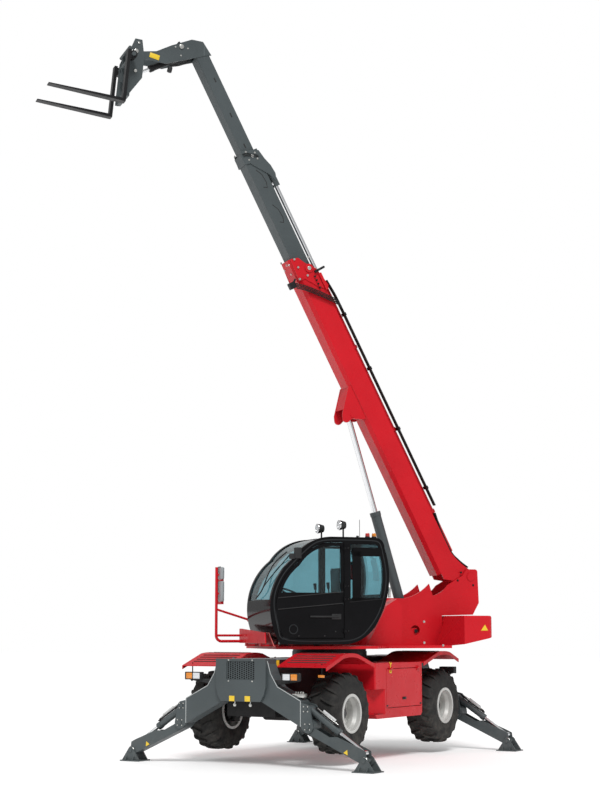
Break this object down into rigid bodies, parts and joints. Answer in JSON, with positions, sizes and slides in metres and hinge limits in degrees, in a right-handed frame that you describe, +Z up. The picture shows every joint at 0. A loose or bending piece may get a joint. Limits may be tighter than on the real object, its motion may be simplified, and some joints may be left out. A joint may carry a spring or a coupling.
{
  "type": "rotating telehandler",
  "caption": "Rotating telehandler on stabiliser legs, with a slewing turret and cab, a telescopic boom and pallet forks",
  "frame": {"origin": "on the ground under the middle of the machine's box as parked", "axes": "+Z up, -Y towards the chassis front, +X towards the chassis left side, which is the cab side when the turret points forward"},
  "size_m": [5.232, 5.8464, 10.4829],
  "materials": {
    "red_paint": "gloss red enamel",
    "grey_steel": "satin blue-grey enamel",
    "cab_paint": "satin dark grey enamel",
    "black_steel": "semi-gloss black enamel",
    "chrome_rod": "hard chrome, polished",
    "glass": "green-blue tinted safety glass",
    "lamp_housing": "black lamp housing",
    "seat_fabric": "dark woven fabric",
    "cab_plastic": "moulded dark plastic",
    "tyre_rubber": "black rubber",
    "rim_paint": "light silver enamel"
  },
  "bodies": {
    "carrier": {"chassis_frame": "grey_steel", "front_stabiliser_beam": "grey_steel", "rear_stabiliser_beam": "grey_steel", "left_side_box": "red_paint", "engine_housing": "red_paint", "engine_block": "black_steel", "mudguards": "red_paint", "lamps": "lamp_housing", "front_axle": "grey_steel", "rear_axle": "grey_steel"},
    "turret": {"turret_frame": "red_paint", "counterweight": "red_paint", "cab_frame": "cab_paint", "cab_glass": "glass", "operator_seat": "seat_fabric", "cab_controls": "cab_plastic", "front_guard": "red_paint"},
    "cab_door": {"cab_door": "cab_paint", "door_window": "glass"},
    "boom_outer": {"boom_outer": "red_paint", "extension_barrel": "black_steel"},
    "boom_middle": {"boom_middle": "grey_steel", "extension_rod": "chrome_rod"},
    "boom_inner": {"boom_inner": "grey_steel"},
    "fork_carriage": {"fork_carriage": "grey_steel", "forks": "black_steel"},
    "tilt_cylinder": {"tilt_cylinder": "black_steel"},
    "tilt_rod": {"tilt_rod": "chrome_rod"},
    "lift_cylinder": {"lift_cylinder": "black_steel"},
    "lift_rod": {"lift_rod": "chrome_rod"},
    "side_hatch": {"side_hatch": "red_paint"},
    "engine_door": {"engine_door": "red_paint"},
    "front_left_leg": {"front_left_leg": "grey_steel"},
    "front_left_ram": {"front_left_leg_cylinder": "black_steel"},
    "front_left_ram_rod": {"front_left_leg_rod": "chrome_rod"},
    "front_left_foot": {"front_left_foot": "grey_steel"},
    "front_left_knuckle": {"front_left_knuckle": "grey_steel"},
    "front_left_wheel": {"front_left_tyre": "tyre_rubber", "front_left_rim": "rim_paint"},
    "front_right_leg": {"front_right_leg": "grey_steel"},
    "front_right_ram": {"front_right_leg_cylinder": "black_steel"},
    "front_right_ram_rod": {"front_right_leg_rod": "chrome_rod"},
    "front_right_foot": {"front_right_foot": "grey_steel"},
    "front_right_knuckle": {"front_right_knuckle": "grey_steel"},
    "front_right_wheel": {"front_right_tyre": "tyre_rubber", "front_right_rim": "rim_paint"},
    "rear_left_leg": {"rear_left_leg": "grey_steel"},
    "rear_left_ram": {"rear_left_leg_cylinder": "black_steel"},
    "rear_left_ram_rod": {"rear_left_leg_rod": "chrome_rod"},
    "rear_left_foot": {"rear_left_foot": "grey_steel"},
    "rear_left_knuckle": {"rear_left_knuckle": "grey_steel"},
    "rear_left_wheel": {"rear_left_tyre": "tyre_rubber", "rear_left_rim": "rim_paint"},
    "rear_right_leg": {"rear_right_leg": "grey_steel"},
    "rear_right_ram": {"rear_right_leg_cylinder": "black_steel"},
    "rear_right_ram_rod": {"rear_right_leg_rod": "chrome_rod"},
    "rear_right_foot": {"rear_right_foot": "grey_steel"},
    "rear_right_knuckle": {"rear_right_knuckle": "grey_steel"},
    "rear_right_wheel": {"rear_right_tyre": "tyre_rubber", "rear_right_rim": "rim_paint"}
  },
  "joints": [
    {"name": "slew", "type": "hinge", "parent": "carrier", "child": "turret", "pos_m": [0.62597, 0.57318, 1.52], "axis": [0, 0, 1], "continuous": true},
    {"name": "boom_lift", "type": "hinge", "parent": "turret", "child": "boom_outer", "pos_m": [1.82421, 2.60077, 2.578], "axis": [-0.7891, 0.6143, 0], "range_deg": [-65.7, 6.3]},
    {"name": "lift_cylinder_swing", "type": "hinge", "parent": "turret", "child": "lift_cylinder", "pos_m": [1.24555, 1.85745, 1.75], "axis": [-0.7891, 0.6143, 0], "range_deg": [-69.48, 7.12]},
    {"name": "lift_rod_slide", "type": "slide", "parent": "lift_cylinder", "child": "lift_rod", "axis": [-0.1762, -0.2263, 0.958], "range_m": [-1.34729, 0.13823]},
    {"name": "boom_extend", "type": "slide", "parent": "boom_outer", "child": "boom_middle", "axis": [-0.2817, -0.3619, 0.8886], "range_m": [-1.5, 2.8]},
    {"name": "boom_extend_inner", "type": "slide", "parent": "boom_middle", "child": "boom_inner", "axis": [-0.2817, -0.3619, 0.8886], "range_m": [-1.501, 2.801]},
    {"name": "carriage_tilt", "type": "hinge", "parent": "boom_inner", "child": "fork_carriage", "pos_m": [-1.45261, -1.60849, 10.14414], "axis": [0.7891, -0.6143, 0], "range_deg": [-75, 45]},
    {"name": "tilt_cylinder_swing", "type": "hinge", "parent": "boom_inner", "child": "tilt_cylinder", "pos_m": [-0.94125, -0.95163, 10.27557], "axis": [0.7891, -0.6143, 0], "range_deg": [-8.54, 5.33]},
    {"name": "tilt_rod_slide", "type": "slide", "parent": "tilt_cylinder", "child": "tilt_rod", "axis": [-0.5469, -0.7025, -0.4553], "range_m": [-0.16434, 0.27056]},
    {"name": "cab_door", "type": "hinge", "parent": "turret", "child": "cab_door", "pos_m": [1.38091, -0.30473, 2.3], "axis": [0, 0, 1], "range_deg": [0, 95]},
    {"name": "side_hatch", "type": "hinge", "parent": "carrier", "child": "side_hatch", "pos_m": [1.76397, 0.57318, 1.246], "axis": [0, -1, 0], "range_deg": [0, 100]},
    {"name": "engine_door", "type": "hinge", "parent": "carrier", "child": "engine_door", "pos_m": [-0.51203, 0.57318, 1.246], "axis": [0, 1, 0], "range_deg": [0, 100]},
    {"name": "front_left_steer", "type": "hinge", "parent": "carrier", "child": "front_left_knuckle", "pos_m": [1.42597, -0.82681, 0.68], "axis": [0, 0, 1], "range_deg": [-30, 30]},
    {"name": "front_left_wheel_spin", "type": "hinge", "parent": "front_left_knuckle", "child": "front_left_wheel", "pos_m": [1.57597, -0.82681, 0.68], "axis": [1, 0, 0], "continuous": true},
    {"name": "front_right_steer", "type": "hinge", "parent": "carrier", "child": "front_right_knuckle", "pos_m": [-0.17403, -0.82681, 0.68], "axis": [0, 0, 1], "range_deg": [-30, 30]},
    {"name": "front_right_wheel_spin", "type": "hinge", "parent": "front_right_knuckle", "child": "front_right_wheel", "pos_m": [-0.32403, -0.82681, 0.68], "axis": [-1, 0, 0], "continuous": true},
    {"name": "rear_left_steer", "type": "hinge", "parent": "carrier", "child": "rear_left_knuckle", "pos_m": [1.42597, 1.97318, 0.68], "axis": [0, 0, 1], "range_deg": [-30, 30]},
    {"name": "rear_left_wheel_spin", "type": "hinge", "parent": "rear_left_knuckle", "child": "rear_left_wheel", "pos_m": [1.57597, 1.97318, 0.68], "axis": [1, 0, 0], "continuous": true},
    {"name": "rear_right_steer", "type": "hinge", "parent": "carrier", "child": "rear_right_knuckle", "pos_m": [-0.17403, 1.97318, 0.68], "axis": [0, 0, 1], "range_deg": [-30, 30]},
    {"name": "rear_right_wheel_spin", "type": "hinge", "parent": "rear_right_knuckle", "child": "rear_right_wheel", "pos_m": [-0.32403, 1.97318, 0.68], "axis": [-1, 0, 0], "continuous": true},
    {"name": "front_left_leg_fold", "type": "hinge", "parent": "carrier", "child": "front_left_leg", "pos_m": [1.63097, -1.61681, 0.545], "axis": [0, -1, 0], "range_deg": [0, 105]},
    {"name": "front_left_ram_swing", "type": "hinge", "parent": "carrier", "child": "front_left_ram", "pos_m": [1.60597, -1.61681, 0.77], "axis": [0, -1, 0], "range_deg": [-0.5, 112.78]},
    {"name": "front_left_ram_slide", "type": "slide", "parent": "front_left_ram", "child": "front_left_ram_rod", "axis": [0.8347, 0, -0.5507], "range_m": [-0.35032, 0.005]},
    {"name": "front_left_foot_tilt", "type": "hinge", "parent": "front_left_leg", "child": "front_left_foot", "pos_m": [2.45597, -1.61681, 0.145], "axis": [0, -1, 0], "range_deg": [-40, 40]},
    {"name": "front_right_leg_fold", "type": "hinge", "parent": "carrier", "child": "front_right_leg", "pos_m": [-0.37903, -1.61681, 0.545], "axis": [0, 1, 0], "range_deg": [0, 105]},
    {"name": "front_right_ram_swing", "type": "hinge", "parent": "carrier", "child": "front_right_ram", "pos_m": [-0.35403, -1.61681, 0.77], "axis": [0, 1, 0], "range_deg": [-0.5, 112.78]},
    {"name": "front_right_ram_slide", "type": "slide", "parent": "front_right_ram", "child": "front_right_ram_rod", "axis": [-0.8347, 0, -0.5507], "range_m": [-0.35032, 0.005]},
    {"name": "front_right_foot_tilt", "type": "hinge", "parent": "front_right_leg", "child": "front_right_foot", "pos_m": [-1.20403, -1.61681, 0.145], "axis": [0, 1, 0], "range_deg": [-40, 40]},
    {"name": "rear_left_leg_fold", "type": "hinge", "parent": "carrier", "child": "rear_left_leg", "pos_m": [1.63097, 2.76319, 0.545], "axis": [0, -1, 0], "range_deg": [0, 105]},
    {"name": "rear_left_ram_swing", "type": "hinge", "parent": "carrier", "child": "rear_left_ram", "pos_m": [1.60597, 2.76319, 0.77], "axis": [0, -1, 0], "range_deg": [-0.5, 112.78]},
    {"name": "rear_left_ram_slide", "type": "slide", "parent": "rear_left_ram", "child": "rear_left_ram_rod", "axis": [0.8347, 0, -0.5507], "range_m": [-0.35032, 0.005]},
    {"name": "rear_left_foot_tilt", "type": "hinge", "parent": "rear_left_leg", "child": "rear_left_foot", "pos_m": [2.45597, 2.76319, 0.145], "axis": [0, -1, 0], "range_deg": [-40, 40]},
    {"name": "rear_right_leg_fold", "type": "hinge", "parent": "carrier", "child": "rear_right_leg", "pos_m": [-0.37903, 2.76319, 0.545], "axis": [0, 1, 0], "range_deg": [0, 105]},
    {"name": "rear_right_ram_swing", "type": "hinge", "parent": "carrier", "child": "rear_right_ram", "pos_m": [-0.35403, 2.76319, 0.77], "axis": [0, 1, 0], "range_deg": [-0.5, 112.78]},
    {"name": "rear_right_ram_slide", "type": "slide", "parent": "rear_right_ram", "child": "rear_right_ram_rod", "axis": [-0.8347, 0, -0.5507], "range_m": [-0.35032, 0.005]},
    {"name": "rear_right_foot_tilt", "type": "hinge", "parent": "rear_right_leg", "child": "rear_right_foot", "pos_m": [-1.20403, 2.76319, 0.145], "axis": [0, 1, 0], "range_deg": [-40, 40]}
  ],
  "couplings": [
    {"joint": "lift_cylinder_swing", "follows": "boom_lift", "ratio": 1.05},
    {"joint": "lift_rod_slide", "follows": "boom_lift", "m_per_rad": 1.1662},
    {"joint": "boom_extend_inner", "follows": "boom_extend", "ratio": 1},
    {"joint": "tilt_cylinder_swing", "follows": "carriage_tilt", "ratio": 0.10722},
    {"joint": "tilt_rod_slide", "follows": "carriage_tilt", "m_per_rad": -0.20287},
    {"joint": "front_right_steer", "follows": "front_left_steer", "ratio": 1},
    {"joint": "rear_right_steer", "follows": "rear_left_steer", "ratio": 1},
    {"joint": "front_left_ram_swing", "follows": "front_left_leg_fold", "ratio": 1.0693},
    {"joint": "front_left_ram_slide", "follows": "front_left_leg_fold", "m_per_rad": -0.18843},
    {"joint": "front_right_ram_swing", "follows": "front_right_leg_fold", "ratio": 1.0693},
    {"joint": "front_right_ram_slide", "follows": "front_right_leg_fold", "m_per_rad": -0.18843},
    {"joint": "rear_left_ram_swing", "follows": "rear_left_leg_fold", "ratio": 1.0693},
    {"joint": "rear_left_ram_slide", "follows": "rear_left_leg_fold", "m_per_rad": -0.18843},
    {"joint": "rear_right_ram_swing", "follows": "rear_right_leg_fold", "ratio": 1.0693},
    {"joint": "rear_right_ram_slide", "follows": "rear_right_leg_fold", "m_per_rad": -0.18843}
  ]
}
